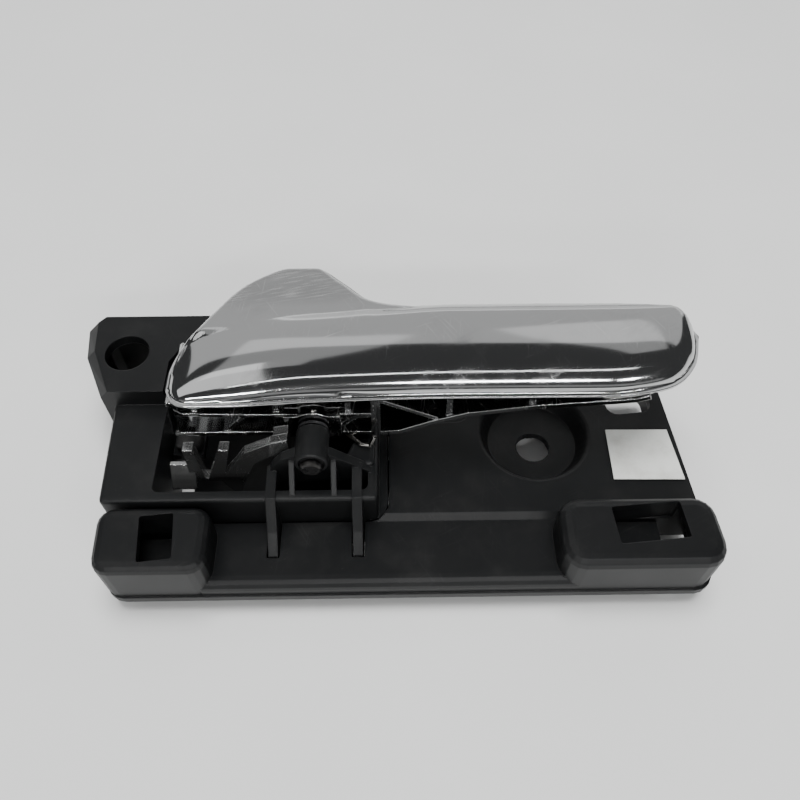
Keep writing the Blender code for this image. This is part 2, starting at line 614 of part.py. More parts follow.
def lever_core(material, axis):
    core = add_object("lever_core", core_web(), material, axis)
    combine(core, "UNION", core_grip() + core_pivot_end())
    bore = turned(((-7.0, BUSH_INNER_R), (18.0, BUSH_INNER_R)), "Y", (PIVOT_X, PIVOT_Z))
    combine(core, "DIFFERENCE", [bore])


def cable_crank(material, axis):
    """The crank that pulls the latch cable: a curved arm, a V-slotted hook and a sloped foot."""
    span = (-10.9, -8.6)
    arm = ((-23.0, 35.4), (-27.0, 34.2), (-34.3, 29.8), (-38.2, 23.4), (-42.4, 17.0),
           (-41.6, 14.0), (-39.6, 10.1), (-38.0, 10.2), (-35.6, 17.2), (-32.6, 24.2),
           (-28.0, 28.0), (-23.0, 28.4))
    crank = add_object("cable_crank", slab_across_y(arm, span), material, axis)
    fork = ((-49.6, 31.2), (-50.0, 16.2), (-41.6, 16.2), (-38.0, 31.2), (-40.5, 31.2),
            (-45.4, 17.6), (-46.4, 17.6), (-47.0, 31.2))
    root = ((-26.8, 28.8), (-23.0, 28.8), (-23.0, 34.8), (-26.8, 33.8))
    foot = ((span[1], 16.2), (span[1], 22.6), (-9.6, 22.6), (-13.4, 17.2), (-13.4, 16.2))
    combine(crank, "UNION", [slab_across_y(fork, (span[0], span[1] + 0.4)),
                             slab_across_y(root, (-10.0, FRONT_LUG_Y[0] - 2 * GAP)),
                             slab_across_x(foot, (-54.8, -48.4))])


def pivot_pin(material):
    """A headed pin; its head is the round button in front of the bracket."""
    profile = ((-17.8, PIN_HEAD_R - 0.7), (-17.5, PIN_HEAD_R - 0.2), (-17.1, PIN_HEAD_R),
               (-16.5, PIN_HEAD_R), (-16.5, PIN_R), (22.6, PIN_R), (23.0, PIN_R - 0.4))
    shade_round(add_object("pivot_pin", turned(profile, "Y", (PIVOT_X, PIVOT_Z)), material))


def pivot_sleeves(acetal, steel, axis):
    """The two bushes, the thrust washers, the spring spool and the clip that holds the pin."""
    parts = (("pivot_bush_front", BUSH_INNER_R, BUSH_OUTER_R, (-16.0, -6.6), acetal, None),
             ("pivot_bush_rear", BUSH_INNER_R, BUSH_OUTER_R, (17.0, 20.9), acetal, None),
             ("thrust_washer_front", BUSH_INNER_R, 3.9, (-6.3, -5.6), acetal, None),
             ("thrust_washer_rear", BUSH_INNER_R, 3.9, (16.3, 16.9 - GAP / 2), acetal, None),
             ("spring_spool", BUSH_INNER_R, 3.25, (-2.0, 12.8), acetal, axis),
             ("pin_retaining_clip", BUSH_INNER_R, 4.6, (21.2, 22.0), steel, None))
    for name, inner, outer, span, material, parent in parts:
        shade_round(add_object(name, sleeve(inner, outer, span), material, parent))


def return_spring(material):
    """A torsion spring round the spool, with one leg hooked over the hood. The other leg is set where
    the fully pulled lever holds it, so that it stays clear of the lever all the way."""
    coil = []
    steps = COIL_TURNS * 16
    for k in range(steps + 1):
        angle = math.pi * (0.5 + 2.0 * COIL_TURNS * k / steps)
        x, z = PIVOT_X + COIL_R * math.cos(angle), PIVOT_Z - COIL_R * math.sin(angle)
        coil.append((x, -1.2 + 12.2 * k / steps, z))
    carrier_leg = [(-1.6, -6.9, 30.4), (-2.9, -7.7, 27.6), (-5.2, -7.2, 27.4),
                   (-9.0, -3.0, 26.5), (-12.6, -1.6, 27.3)]
    lever_leg = [(-18.6, 11.2, 26.0), (-21.5, 11.3, 24.2), (-26.5, 11.4, 21.6)]
    points = carrier_leg + coil + lever_leg
    curve = bpy.data.curves.new("return_spring", "CURVE")
    curve.dimensions = "3D"
    spline = curve.splines.new("POLY")
    spline.points.add(len(points) - 1)
    for target, point in zip(spline.points, points):
        target.co = (*metres(point), 1.0)
    curve.bevel_depth = WIRE_R * MM
    curve.bevel_resolution = 1
    curve.use_fill_caps = True
    curve.materials.append(material)
    bpy.context.scene.collection.objects.link(bpy.data.objects.new("return_spring", curve))


def rubber_buffers(material):
    """The pad that the lever rests on, and the one that stops it at the end of its travel."""
    rest = ((-5.8, 1.2), (-2.0, 1.2), (-2.0, 7.8), (-5.8, 7.8))
    stop = ((-56.4, -0.2), (-49.6, -0.2), (-49.6, 5.2), (-56.4, 5.2))
    add_object("rest_buffer", block(rest, PANEL_TOP_Z + GAP, 27.2, 1.2, 0.8), material)
    add_object("stop_buffer", block(stop, 13.4 + GAP, 16.2, 1.2, 0.8), material)


def carrier_screws(material):
    """Pan-head screws that hold the carrier's ears to the frame's bosses, from underneath."""
    for index, (x, y) in enumerate(FRAME_SCREWS, start=1):
        head = EAR_Z[0] - GAP
        profile = ((head - 1.7, 1.8), (head - 1.3, 2.6), (head, 2.8), (head, 1.5), (9.8, 1.5), (10.3, 0.9))
        shade_round(add_object(f"carrier_screw_{index}", turned(profile, "Z", (x, y), 16), material))


def inspection_label(material):
    z = PLATE_TOP_Z + GAP
    add_object("paper_label", loft([[(x, y, z) for x, y in LABEL_CORNERS],
                                    [(x, y, z + LABEL_THICK) for x, y in LABEL_CORNERS]]), material)


clear_scene()
black_nylon = make_material("black_nylon", (0.012, 0.013, 0.014), 0.45)
black_carrier = make_material("black_carrier_nylon", (0.010, 0.011, 0.012), 0.5)
chrome = make_material("chrome_plate", (0.72, 0.73, 0.74), 0.06, 1.0)
core_chrome = make_material("core_chrome_plate", (0.66, 0.67, 0.68), 0.15, 1.0)
bright_steel = make_material("bright_steel", (0.55, 0.55, 0.56), 0.3, 1.0)
spring_steel = make_material("spring_steel", (0.35, 0.35, 0.36), 0.3, 1.0)
black_acetal = make_material("black_acetal", (0.015, 0.015, 0.016), 0.35)
rubber = make_material("rubber", (0.02, 0.02, 0.02), 0.8)
paper = make_material("paper", (0.62, 0.63, 0.6), 0.8)

lever_axis = bpy.data.objects.new("lever_axis", None)
lever_axis.location = metres((PIVOT_X, 0.0, PIVOT_Z))
bpy.context.scene.collection.objects.link(lever_axis)

outer_frame(black_nylon)
mechanism_carrier(black_carrier)
lever_cover(chrome, lever_axis)
lever_core(core_chrome, lever_axis)
cable_crank(core_chrome, lever_axis)
pivot_pin(bright_steel)
pivot_sleeves(black_acetal, bright_steel, lever_axis)
return_spring(spring_steel)
rubber_buffers(rubber)
carrier_screws(bright_steel)
inspection_label(paper)
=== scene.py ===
"""Looks for the interior car door handle: a chromed pull lever on a black moulded housing.

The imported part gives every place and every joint. Sizes here are metres, with X along the lever,
Y across it from front to rear, and Z up from the surface that the housing stands on.
"""
import math

import bmesh
import bpy
import numpy as np
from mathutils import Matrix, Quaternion, Vector


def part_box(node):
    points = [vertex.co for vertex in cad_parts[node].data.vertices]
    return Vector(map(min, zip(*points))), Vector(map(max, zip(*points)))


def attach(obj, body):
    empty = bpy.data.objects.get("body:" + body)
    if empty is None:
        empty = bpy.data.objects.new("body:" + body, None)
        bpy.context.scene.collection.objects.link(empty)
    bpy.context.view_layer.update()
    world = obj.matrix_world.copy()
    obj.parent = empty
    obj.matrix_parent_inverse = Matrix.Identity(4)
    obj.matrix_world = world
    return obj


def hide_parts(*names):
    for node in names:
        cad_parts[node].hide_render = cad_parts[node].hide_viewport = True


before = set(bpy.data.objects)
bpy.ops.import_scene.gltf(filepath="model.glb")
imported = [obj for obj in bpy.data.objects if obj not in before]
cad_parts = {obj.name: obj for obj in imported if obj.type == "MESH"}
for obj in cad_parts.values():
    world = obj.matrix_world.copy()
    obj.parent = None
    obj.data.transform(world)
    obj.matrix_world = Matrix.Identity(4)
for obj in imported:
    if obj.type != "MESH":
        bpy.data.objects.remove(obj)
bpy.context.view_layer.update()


# Bench and light. The handle lies on a plain pale bench among wide soft panels. Two turned panels
# at the rear slope the edge of the dark band along the lever, and small lamps in front and a thin
# strip overhead draw the bright lines below it.
def soft_lamp(name, place, width, depth, power, turn=0.0, seen_in_chrome=True):
    lamp = bpy.data.lights.new(name, "AREA")
    lamp.shape = "RECTANGLE"
    lamp.size, lamp.size_y = width, depth
    lamp.energy = power
    holder = bpy.data.objects.new(name, lamp)
    holder.location = Vector(place)
    facing = (Vector((0.0, 0.0, 0.03)) - Vector(place)).to_track_quat("-Z", "Y")
    holder.rotation_euler = (facing @ Quaternion((0.0, 0.0, 1.0), math.radians(turn))).to_euler()
    holder.visible_glossy = seen_in_chrome
    bpy.context.scene.collection.objects.link(holder)


def lay_bench(half=1.6, rows=8):
    bm = bmesh.new()
    bmesh.ops.create_grid(bm, x_segments=rows, y_segments=rows, size=half)
    mesh = bpy.data.meshes.new("bench_top")
    bm.to_mesh(mesh)
    bm.free()
    bench = bpy.data.objects.new("bench_top", mesh)
    bpy.context.scene.collection.objects.link(bench)
    material = bpy.data.materials.new("bench_paint")
    material.use_nodes = True
    nodes, links = material.node_tree.nodes, material.node_tree.links
    shader = nodes["Principled BSDF"]
    place = nodes.new("ShaderNodeTexCoord")
    mottle = nodes.new("ShaderNodeTexNoise")
    mottle.inputs["Scale"].default_value = 14.0
    mottle.inputs["Detail"].default_value = 6.0
    tone = nodes.new("ShaderNodeMix")
    tone.data_type = "RGBA"
    tone.inputs["A"].default_value = (0.60, 0.605, 0.60, 1.0)
    tone.inputs["B"].default_value = (0.67, 0.675, 0.67, 1.0)
    links.new(place.outputs["Object"], mottle.inputs["Vector"])
    links.new(mottle.outputs["Fac"], tone.inputs["Factor"])
    links.new(tone.outputs["Result"], shader.inputs["Base Color"])
    shader.inputs["Roughness"].default_value = 0.75
    mesh.materials.append(material)


lay_bench()
soft_lamp("overhead_softbox", (0.05, 0.05, 1.25), 0.60, 0.50, 23.0, seen_in_chrome=False)
soft_lamp("rear_softbox", (0.10, 1.05, 0.75), 2.6, 1.05, 5.0)
soft_lamp("rear_left_wing", (-0.37, 0.636, 1.35), 1.0, 0.60, 0.7, turn=47.0)
soft_lamp("rear_right_wing", (0.57, 0.74, 1.19), 0.80, 0.40, 0.38, turn=-30.0)
soft_lamp("rear_low_panel", (0.10, 1.35, 0.20), 2.8, 0.34, 2.6)
soft_lamp("left_softbox", (-0.66, -0.08, 1.00), 0.86, 0.90, 2.6)
soft_lamp("front_softbox", (0.0, -1.25, 0.34), 2.6, 0.26, 0.6)
soft_lamp("ceiling_strip", (0.10, -0.46, 1.22), 1.1, 0.022, 0.9)
soft_lamp("front_left_lamp", (-0.30, -0.98, 0.62), 0.30, 0.060, 3.0)
soft_lamp("front_middle_lamp", (0.20, -0.90, 0.76), 0.34, 0.060, 3.4)
soft_lamp("front_right_lamp", (0.58, -0.88, 0.76), 0.20, 0.060, 2.2)

room = bpy.data.worlds.new("studio_room")
room.use_nodes = True
room.node_tree.nodes["Background"].inputs["Color"].default_value = (0.16, 0.163, 0.166, 1.0)
room.node_tree.nodes["Background"].inputs["Strength"].default_value = 0.4
bpy.context.scene.world = room

camera_data = bpy.data.cameras.new("bench_camera")
camera_data.lens = 35.1
camera_data.sensor_width = 36.0
camera_data.dof.use_dof = False
camera = bpy.data.objects.new("bench_camera", camera_data)
camera.location = (0.00235, -0.1138, 0.1965)
camera.rotation_euler = (math.radians(35.6), 0.0, math.radians(-0.87))
bpy.context.scene.collection.objects.link(camera)
bpy.context.scene.camera = camera


# Outer frame. An injection-moulded black nylon bar with box-shaped ends and a low plate behind it.
# Handling has polished its edges, and it is dusty and lightly scuffed on top.
def socket_in(group, name, kind, value=None):
    socket = group.interface.new_socket(name=name, in_out="INPUT", socket_type=kind)
    if value is not None:
        socket.default_value = value
    return socket


def socket_out(group, name, kind):
    return group.interface.new_socket(name=name, in_out="OUTPUT", socket_type=kind)


def math_node(tree, operation, first, second=None, clamp=False):
    node = tree.nodes.new("ShaderNodeMath")
    node.operation = operation
    node.use_clamp = clamp
    for slot, value in zip(node.inputs, (first, second)):
        if value is None:
            continue
        if isinstance(value, (int, float)):
            slot.default_value = value
        else:
            tree.links.new(value, slot)
    return node.outputs["Value"]


def range_node(tree, value, low, high, to_low=0.0, to_high=1.0):
    node = tree.nodes.new("ShaderNodeMapRange")
    node.interpolation_type = "SMOOTHSTEP"
    tree.links.new(value, node.inputs["Value"])
    for name, number in (("From Min", low), ("From Max", high), ("To Min", to_low), ("To Max", to_high)):
        node.inputs[name].default_value = number
    return node.outputs["Result"]


def mix_colour(tree, share, first, second):
    node = tree.nodes.new("ShaderNodeMix")
    node.data_type = "RGBA"
    tree.links.new(share, node.inputs["Factor"])
    for name, value in (("A", first), ("B", second)):
        if isinstance(value, tuple):
            node.inputs[name].default_value = (*value, 1.0)
        else:
            tree.links.new(value, node.inputs[name])
    return node.outputs["Result"]


def noise_node(tree, vector, scale, detail=4.0, roughness=0.55):
    node = tree.nodes.new("ShaderNodeTexNoise")
    tree.links.new(vector, node.inputs["Vector"])
    node.inputs["Scale"].default_value = scale
    node.inputs["Detail"].default_value = detail
    node.inputs["Roughness"].default_value = roughness
    return node.outputs["Fac"]


def turned_space(tree, vector, degrees, stretch):
    node = tree.nodes.new("ShaderNodeMapping")
    node.vector_type = "TEXTURE"
    tree.links.new(vector, node.inputs["Vector"])
    node.inputs["Rotation"].default_value = tuple(math.radians(angle) for angle in degrees)
    node.inputs["Scale"].default_value = tuple(1.0 / along for along in stretch)
    return node.outputs["Vector"]


def scratch_group():
    """Hair-fine scratches in two crossing directions, in patches."""
    group = bpy.data.node_groups.new("hair_scratches", "ShaderNodeTree")
    socket_in(group, "Vector", "NodeSocketVector")
    socket_in(group, "Amount", "NodeSocketFloat", 0.5)
    socket_out(group, "Mask", "NodeSocketFloat")
    start = group.nodes.new("NodeGroupInput")
    end = group.nodes.new("NodeGroupOutput")
    vector = start.outputs["Vector"]
    patches = range_node(group, noise_node(group, vector, 60.0, 2.0), 0.42, 0.62)
    lines = []
    for degrees, stretch in (((0, 0, 24), (70.0, 2600.0, 900.0)), ((0, 0, -58), (60.0, 2300.0, 800.0)),
                             ((0, 0, 83), (90.0, 3100.0, 900.0))):
        streak = noise_node(group, turned_space(group, vector, degrees, stretch), 1.0, 1.0, 0.4)
        lines.append(range_node(group, streak, 0.665, 0.73))
    joined = math_node(group, "MAXIMUM", math_node(group, "MAXIMUM", lines[0], lines[1]), lines[2])
    patched = math_node(group, "MULTIPLY", joined, patches)
    group.links.new(math_node(group, "MULTIPLY", patched, start.outputs["Amount"]), end.inputs["Mask"])
    return group


def dust_group():
    """Fine dust and lint specks that settle on faces that look up."""
    group = bpy.data.node_groups.new("settled_dust", "ShaderNodeTree")
    socket_in(group, "Vector", "NodeSocketVector")
    socket_in(group, "Amount", "NodeSocketFloat", 0.5)
    socket_out(group, "Mask", "NodeSocketFloat")
    start = group.nodes.new("NodeGroupInput")
    end = group.nodes.new("NodeGroupOutput")
    vector = start.outputs["Vector"]
    film = range_node(group, noise_node(group, vector, 75.0, 8.0, 0.65), 0.46, 0.74, 0.0, 0.28)
    specks = range_node(group, noise_node(group, vector, 1500.0, 2.0), 0.69, 0.75)
    clumps = range_node(group, noise_node(group, vector, 110.0, 2.0), 0.50, 0.66)
    both = math_node(group, "MAXIMUM", film, math_node(group, "MULTIPLY", specks, clumps))
    shape = group.nodes.new("ShaderNodeNewGeometry")
    split = group.nodes.new("ShaderNodeSeparateXYZ")
    group.links.new(shape.outputs["Normal"], split.inputs["Vector"])
    upward = range_node(group, split.outputs["Z"], 0.15, 0.85)
    facing_up = math_node(group, "MULTIPLY", both, upward)
    group.links.new(math_node(group, "MULTIPLY", facing_up, start.outputs["Amount"]), end.inputs["Mask"])
    return group


HAIR_SCRATCHES = scratch_group()
SETTLED_DUST = dust_group()


def place_group(tree, group, vector, amount):
    node = tree.nodes.new("ShaderNodeGroup")
    node.node_tree = group
    tree.links.new(vector, node.inputs["Vector"])
    node.inputs["Amount"].default_value = amount
    return node.outputs["Mask"]


def new_finish(name):
    material = bpy.data.materials.new(name)
    material.use_nodes = True
    tree = material.node_tree
    place = tree.nodes.new("ShaderNodeTexCoord")
    return material, tree, tree.nodes["Principled BSDF"], place.outputs["Object"]


def soft_edge(tree, radius):
    node = tree.nodes.new("ShaderNodeBevel")
    node.samples = 6
    node.inputs["Radius"].default_value = radius
    return node.outputs["Normal"]


def edge_wear(tree, radius):
    """How far the rounded normal turns from the face: near zero on flats, high along edges."""
    face = tree.nodes.new("ShaderNodeNewGeometry")
    dot = tree.nodes.new("ShaderNodeVectorMath")
    dot.operation = "DOT_PRODUCT"
    tree.links.new(face.outputs["Normal"], dot.inputs[0])
    tree.links.new(soft_edge(tree, radius), dot.inputs[1])
    return range_node(tree, dot.outputs["Value"], 0.995, 0.86)


def surface_bump(tree, shader, height, strength, distance, normal=None):
    bump = tree.nodes.new("ShaderNodeBump")
    bump.inputs["Strength"].default_value = strength
    bump.inputs["Distance"].default_value = distance
    tree.links.new(height, bump.inputs["Height"])
    if normal is not None:
        tree.links.new(normal, bump.inputs["Normal"])
    tree.links.new(bump.outputs["Normal"], shader.inputs["Normal"])


def moulded_nylon(name, dark, light, dust, radius=0.0005):
    """Black moulded nylon: fine spark-eroded grain, a slow sheen change, scuffs, worn edges, dust."""
    material, tree, shader, vector = new_finish(name)
    flow = noise_node(tree, vector, 28.0, 5.0)
    grain = noise_node(tree, vector, 5200.0, 2.0)
    scuffs = place_group(tree, HAIR_SCRATCHES, vector, 0.10)
    film = place_group(tree, SETTLED_DUST, vector, dust)
    wear = edge_wear(tree, radius)
    body = mix_colour(tree, range_node(tree, flow, 0.3, 0.7), dark, light)
    scuffed = mix_colour(tree, math_node(tree, "MULTIPLY", scuffs, 0.35), body, (0.11, 0.11, 0.11))
    worn = mix_colour(tree, math_node(tree, "MULTIPLY", wear, 0.25), scuffed, (0.03, 0.03, 0.031))
    shader.inputs["Specular IOR Level"].default_value = 0.30
    tree.links.new(mix_colour(tree, film, worn, (0.30, 0.29, 0.27)), shader.inputs["Base Color"])
    dusty = math_node(tree, "MULTIPLY", film, 0.5)
    polished = math_node(tree, "MULTIPLY", wear, 0.12)
    rough = math_node(tree, "ADD", range_node(tree, flow, 0.25, 0.75, 0.40, 0.48), dusty)
    tree.links.new(math_node(tree, "SUBTRACT", rough, polished, True), shader.inputs["Roughness"])
    relief = math_node(tree, "SUBTRACT", grain, math_node(tree, "MULTIPLY", scuffs, 0.8))
    surface_bump(tree, shader, relief, 0.22, 0.00005, soft_edge(tree, radius))
    return material


def refinish(node, material):
    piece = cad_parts[node]
    piece.data.materials.clear()
    piece.data.materials.append(material)
    return piece


refinish("outer_frame",
         moulded_nylon("grained_black_nylon", (0.0042, 0.0045, 0.0048), (0.0058, 0.0061, 0.0064), 0.06))

# Mechanism carrier. A second black moulding, slightly glossier and greyer, screwed to the frame
# from below. Its open well holds the pivot, and its raised tab takes a fixing bolt.
refinish("mechanism_carrier",
         moulded_nylon("carrier_black_nylon", (0.0044, 0.0047, 0.0050), (0.0062, 0.0066, 0.0069), 0.05))


# Lever cover. A crowned shell, moulded and then chrome plated, with a thin flat rim all round and a
# hollowed wing at its pivot end. It is clipped over the lever core.
def curve_through(points, x):
    """A smooth curve through rising points, read at an array of x."""
    xs = np.array([point[0] for point in points], float)
    ys = np.array([point[1] for point in points], float)
    slopes = np.diff(ys) / np.diff(xs)
    inner = np.where(slopes[:-1] * slopes[1:] > 0.0, 0.5 * (slopes[:-1] + slopes[1:]), 0.0)
    tangents = np.concatenate(([slopes[0]], inner, [slopes[-1]]))
    x = np.clip(x, xs[0], xs[-1])
    i = np.clip(np.searchsorted(xs, x, side="right") - 1, 0, len(xs) - 2)
    width = xs[i + 1] - xs[i]
    t = (x - xs[i]) / width
    return ((2 * t ** 3 - 3 * t ** 2 + 1) * ys[i] + (t ** 3 - 2 * t ** 2 + t) * width * tangents[i]
            + (3 * t ** 2 - 2 * t ** 3) * ys[i + 1] + (t ** 3 - t ** 2) * width * tangents[i + 1])


def soft_least(distances, power=3.0):
    """A smooth stand-in for the least of several distances: zero where any of them is zero."""
    total = sum(1.0 / np.maximum(distance, 1e-5) ** power for distance in distances)
    return total ** (-1.0 / power)


def cover_height(x, y, front, rear, band, tilt_front, tilt_rear, ends, crown, rim):
    """Height of the plated shell over its outline: the crowned bar, and the wing behind it."""
    flange, lip, roll_width, dome_width, soft = 0.0010, 0.0009, 0.0026, 0.0125, 0.00055
    to_front = (y - front) * tilt_front
    to_rear = (rear - y) * tilt_rear
    to_ends = (np.abs(x - ends[0]), np.abs(ends[1] - x))
    edge = soft_least((to_front, to_rear) + to_ends, 4.0)
    bar_edge = soft_least((to_front, np.maximum(band - y, 1e-5)) + to_ends)
    share = np.clip((bar_edge - flange) / dome_width, 0.0, 1.0)
    bar = (1.0 - (1.0 - share) ** 2.2) ** 0.55
    bar_z = rim + lip + (crown - rim - lip) * bar
    away = np.clip((y - band + 0.0045) / 0.018, 0.0, 1.0)
    roll = np.clip((edge - flange) / roll_width, 0.0, 1.0)
    wing = (1.0 - (1.0 - roll) ** 2.4) ** (1.0 / 2.0)
    behind_bar = np.clip((y - band + 0.0135) / 0.008, 0.0, 1.0)
    slope = (0.0040 - 0.0022 * away + 0.0012 * away ** 2) * behind_bar
    wing_z = rim + lip + slope * wing
    blended = soft * np.log(np.exp((bar_z - rim) / soft) + np.exp((wing_z - rim) / soft)) + rim
    lone = np.maximum(bar_z, wing_z)
    blended = np.minimum(blended, lone + soft * 0.7)
    winged = np.clip((rear - band) / 0.004, 0.0, 1.0)
    height = lone + (blended - lone) * winged * np.clip((edge - flange) / 0.002, 0.0, 1.0)
    return np.where(edge > flange, np.minimum(height, crown), rim + lip)


def build_lever_cover():
    """The cover's top skin as a grid over its outline, thickened inwards to a shell."""
    low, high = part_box("lever_cover")
    rim, crown = low.z, high.z
    left, right = low.x, high.x
    middle = left + 0.0522
    front_line = [(left, -0.0015), (-0.0505, -0.0048), (-0.045, -0.0066), (-0.038, -0.0066), (-0.019, -0.0056),
                  (0.017, -0.0048), (0.055, -0.0050), (0.0679, -0.0034), (0.073, -0.0014), (0.0766, 0.0018),
                  (0.0792, 0.0060), (right, 0.0134)]
    rear_line = [(left, 0.0025), (-0.0512, 0.0075), (-0.0478, 0.015), (-0.0427, 0.0240), (-0.0375, 0.0310),
                 (-0.031, 0.0360), (-0.024, 0.0387), (-0.017, 0.0387), (-0.010, 0.0336), (-0.003, 0.0272),
                 (0.0053, 0.0245), (0.018, 0.0240), (0.045, 0.0233), (0.071, 0.0216), (0.078, 0.0196),
                 (right, 0.0134)]
    band_line = [(left, 0.0180), (-0.040, 0.0198), (-0.028, 0.0212), (-0.010, 0.0226), (0.006, 0.0244),
                 (0.018, 0.0252), (right, 0.0252)]
    drawn_middle = high.y - 0.0387
    for line in (front_line, rear_line, band_line):
        line[:] = [(x if x in (left, right) else x + middle, y + drawn_middle) for x, y in line]
    rows, columns = 150, 56
    k = np.arange(rows + 1) / rows
    along = 0.55 * (1.0 - np.cos(math.pi * k)) / 2.0 + 0.45 * k
    x = left + (right - left) * along
    front, rear = curve_through(front_line, x), curve_through(rear_line, x)
    band = np.minimum(curve_through(band_line, x), rear + 0.004)
    tilt_front = 1.0 / np.sqrt(1.0 + np.gradient(front, x) ** 2)
    tilt_rear = 1.0 / np.sqrt(1.0 + np.gradient(rear, x) ** 2)
    bm = bmesh.new()
    grid = []
    for i in range(rows + 1):
        share = (1.0 - np.cos(math.pi * np.arange(columns + 1) / columns)) / 2.0
        share = 0.75 * share + 0.25 * np.arange(columns + 1) / columns
        y = front[i] + (rear[i] - front[i]) * share
        droop = 0.0034 * max((left + 0.0362 - x[i]) / 0.0362, 0.0) ** 2
        z = cover_height(np.full_like(y, x[i]), y, front[i], rear[i], band[i], tilt_front[i], tilt_rear[i],
                         (left, right), crown - droop, rim)
        grid.append([bm.verts.new((x[i], float(y[j]), float(z[j]))) for j in range(columns + 1)])
    for lower, upper in zip(grid, grid[1:]):
        for j in range(columns):
            bm.faces.new((lower[j], upper[j], upper[j + 1], lower[j + 1]))
    bmesh.ops.remove_doubles(bm, verts=bm.verts, dist=0.000002)
    bmesh.ops.recalc_face_normals(bm, faces=bm.faces)
    if sum(face.normal.z * face.calc_area() for face in bm.faces) < 0.0:
        bmesh.ops.reverse_faces(bm, faces=bm.faces)
    mesh = bpy.data.meshes.new("chromed_lever_cover")
    bm.to_mesh(mesh)
    bm.free()
    cover = bpy.data.objects.new("chromed_lever_cover", mesh)
    bpy.context.scene.collection.objects.link(cover)
    shell = cover.modifiers.new("plated shell", "SOLIDIFY")
    shell.thickness = 0.0009
    shell.offset = -1.0
    mesh.shade_smooth()
    return cover


def chrome_plate(name, low_rough, high_rough, scratches, tint, radius=None, rub_and_shade_spot=None, metallic=1.0):
    """Bright chrome over plastic: hair scratches, greasy finger smudges and a faint orange peel."""
    material, tree, shader, vector = new_finish(name)
    shader.inputs["Metallic"].default_value = metallic
    smudge = range_node(tree, noise_node(tree, vector, 55.0, 7.0, 0.6), 0.46, 0.68)
    wipe = noise_node(tree, turned_space(tree, vector, (0, 0, 35), (40.0, 420.0, 90.0)), 1.0, 3.0)
    film = math_node(tree, "MULTIPLY", smudge, range_node(tree, wipe, 0.35, 0.7, 0.4, 1.0))
    lines = place_group(tree, HAIR_SCRATCHES, vector, scratches)
    smudge_and_shade_tone = mix_colour(tree, film, tint, tuple(channel * 0.90 for channel in tint))
    # Optional spot over the rear of the wing. Its rub lines and dulling are real wear, and darkening its chrome
    # tint to 0.8 is painted shade for the wing's darker reflection.
    if rub_and_shade_spot:
        spot = tree.nodes.new("ShaderNodeSeparateXYZ")
        tree.links.new(vector, spot.inputs["Vector"])
        behind = range_node(tree, spot.outputs["Y"], rub_and_shade_spot[1], rub_and_shade_spot[1] + 0.006)
        leftward = range_node(tree, spot.outputs["X"], rub_and_shade_spot[0], rub_and_shade_spot[0] - 0.022)
        rub_and_shade = math_node(tree, "MULTIPLY", behind, leftward)
        hairs = noise_node(tree, turned_space(tree, vector, (0, 0, 12), (140.0, 1500.0, 300.0)), 1.0, 3.0)
        rubbed_lines = math_node(tree, "MULTIPLY", rub_and_shade, range_node(tree, hairs, 0.46, 0.8))
        lines = math_node(tree, "MAXIMUM", lines, rubbed_lines)
        film = math_node(tree, "MAXIMUM", film, math_node(tree, "MULTIPLY", rub_and_shade, 0.7))
        smudge_and_shade_tone = mix_colour(tree, rub_and_shade, smudge_and_shade_tone, tuple(channel * 0.80 for channel in tint))
    bright = math_node(tree, "MULTIPLY", lines, 0.5)
    tree.links.new(mix_colour(tree, bright, smudge_and_shade_tone, (0.86, 0.86, 0.86)), shader.inputs["Base Color"])
    rough = math_node(tree, "ADD", range_node(tree, film, 0.0, 1.0, low_rough, high_rough),
                      math_node(tree, "MULTIPLY", lines, 0.28))
    tree.links.new(rough, shader.inputs["Roughness"])
    peel = noise_node(tree, vector, 900.0, 2.0)
    grooves = math_node(tree, "MULTIPLY", lines, 0.6)
    relief = math_node(tree, "SUBTRACT", math_node(tree, "MULTIPLY", peel, 0.10), grooves)
    surface_bump(tree, shader, relief, 0.10, 0.00004, soft_edge(tree, radius) if radius else None)
    return material


lever_cover = build_lever_cover()
# The spot given here darkens the chrome over the rear of the wing as painted shade, and adds real rub lines and
# dulling.
lever_cover.data.materials.append(chrome_plate(
    "bright_chrome_plate", 0.085, 0.17, 0.35, (0.52, 0.525, 0.525), rub_and_shade_spot=(0.004, 0.0215)))
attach(lever_cover, "lever")
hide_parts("lever_cover")

# Lever core and cable crank. The ribbed underside of the lever and its hooked arm, moulded in one
# grade of plastic and plated with the cover, and a little duller than it.
core_plate = chrome_plate("core_chrome_plate", 0.10, 0.30, 0.6, (0.54, 0.545, 0.545), 0.00035)
refinish("lever_core", core_plate)
refinish("cable_crank",
         chrome_plate("satin_crank_plate", 0.14, 0.30, 0.5, (0.50, 0.505, 0.50), 0.0004, metallic=0.95))


# Pivot. A blackened headed pin runs in black acetal bushes, with a bright spring clip on its tail.
def turned_metal(name, colour, dull, low_rough, high_rough):
    """Turned or drawn steel: fine rings and darker, duller patches."""
    material, tree, shader, vector = new_finish(name)
    shader.inputs["Metallic"].default_value = 1.0
    patches = range_node(tree, noise_node(tree, vector, 160.0, 6.0, 0.65), 0.40, 0.68)
    rings = noise_node(tree, turned_space(tree, vector, (0, 0, 0), (900.0, 120.0, 4200.0)), 1.0, 2.0)
    tree.links.new(mix_colour(tree, patches, colour, dull), shader.inputs["Base Color"])
    worn_rings = math_node(tree, "MULTIPLY", patches, rings)
    tree.links.new(range_node(tree, worn_rings, 0.0, 0.6, low_rough, high_rough), shader.inputs["Roughness"])
    surface_bump(tree, shader, rings, 0.12, 0.00004, soft_edge(tree, 0.00025))
    return material


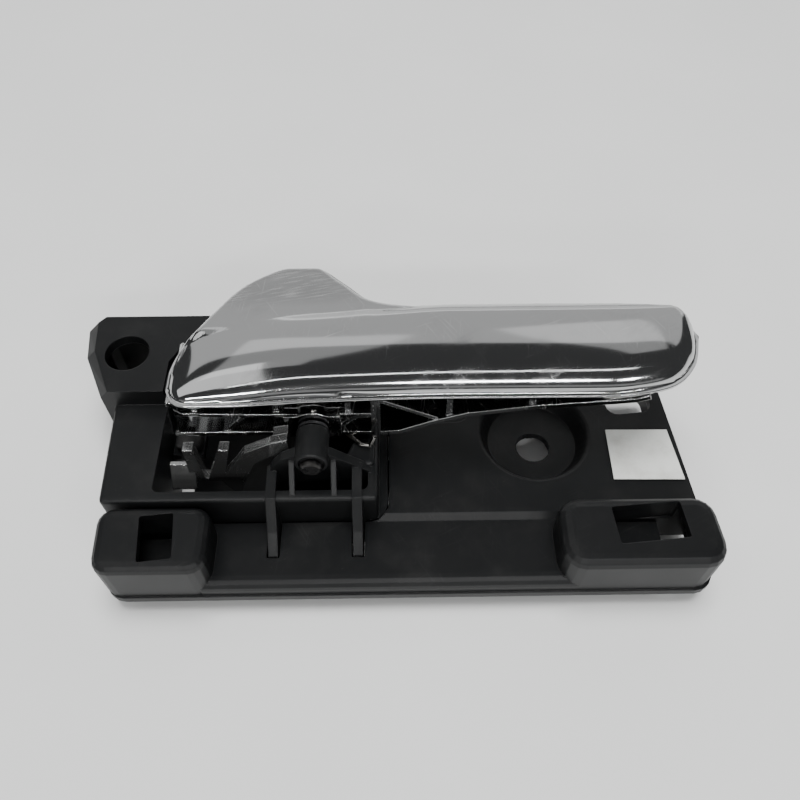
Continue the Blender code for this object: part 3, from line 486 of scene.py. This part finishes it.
def slick_acetal(name):
    """Black acetal: waxy and smooth, with a slow change of sheen."""
    material, tree, shader, vector = new_finish(name)
    wax = noise_node(tree, vector, 240.0, 5.0)
    tone = mix_colour(tree, range_node(tree, wax, 0.3, 0.7), (0.012, 0.012, 0.013), (0.022, 0.022, 0.023))
    tree.links.new(tone, shader.inputs["Base Color"])
    tree.links.new(range_node(tree, wax, 0.25, 0.75, 0.24, 0.42), shader.inputs["Roughness"])
    surface_bump(tree, shader, noise_node(tree, vector, 2600.0, 2.0), 0.12, 0.00004, soft_edge(tree, 0.0003))
    return material


refinish("pivot_pin",
         turned_metal("blackened_pin_steel", (0.10, 0.10, 0.105), (0.045, 0.043, 0.041), 0.22, 0.42))
acetal = slick_acetal("black_acetal_resin")
for sleeve in ("pivot_bush_front", "pivot_bush_rear", "thrust_washer_front", "thrust_washer_rear",
               "spring_spool"):
    refinish(sleeve, acetal)
zinc = turned_metal("bright_zinc_steel", (0.60, 0.61, 0.60), (0.40, 0.40, 0.38), 0.20, 0.45)
for fixing in ("pin_retaining_clip", "carrier_screw_1", "carrier_screw_2", "carrier_screw_3"):
    refinish(fixing, zinc)

# Return spring. A coil of drawn spring wire round the spool, oiled and slightly tarnished.
refinish("return_spring", turned_metal("oiled_spring_wire", (0.42, 0.41, 0.39), (0.20, 0.18, 0.16), 0.18, 0.40))


# Buffers. Two soft black rubber pads, one under the lever at rest and one at the end of its travel.
def soft_rubber(name):
    """Black rubber with a dull grey bloom."""
    material, tree, shader, vector = new_finish(name)
    bloom = noise_node(tree, vector, 320.0, 6.0, 0.7)
    tone = mix_colour(tree, range_node(tree, bloom, 0.4, 0.75), (0.016, 0.016, 0.016), (0.045, 0.044, 0.042))
    tree.links.new(tone, shader.inputs["Base Color"])
    tree.links.new(range_node(tree, bloom, 0.3, 0.7, 0.66, 0.88), shader.inputs["Roughness"])
    surface_bump(tree, shader, noise_node(tree, vector, 1800.0, 3.0), 0.25, 0.00006, soft_edge(tree, 0.0004))
    return material


buffer_rubber = soft_rubber("black_buffer_rubber")
refinish("rest_buffer", buffer_rubber)
refinish("stop_buffer", buffer_rubber)


# Inspection label. A plain slip of off-white paper stuck to the plate, a little grubby and cockled.
def grubby_paper(name):
    """Off-white paper: fine fibres, a few handling stains and a slight cockle."""
    material, tree, shader, vector = new_finish(name)
    fibre = noise_node(tree, vector, 2200.0, 6.0, 0.7)
    stain = range_node(tree, noise_node(tree, vector, 130.0, 6.0, 0.6), 0.45, 0.72)
    clean = mix_colour(tree, fibre, (0.50, 0.51, 0.49), (0.64, 0.65, 0.62))
    tree.links.new(mix_colour(tree, math_node(tree, "MULTIPLY", stain, 0.45), clean, (0.33, 0.32, 0.29)),
                   shader.inputs["Base Color"])
    tree.links.new(range_node(tree, fibre, 0.2, 0.8, 0.74, 0.90), shader.inputs["Roughness"])
    cockle = noise_node(tree, vector, 190.0, 3.0)
    relief = math_node(tree, "ADD", math_node(tree, "MULTIPLY", cockle, 3.0), fibre)
    surface_bump(tree, shader, relief, 0.25, 0.00006)
    return material


refinish("paper_label", grubby_paper("off_white_paper"))
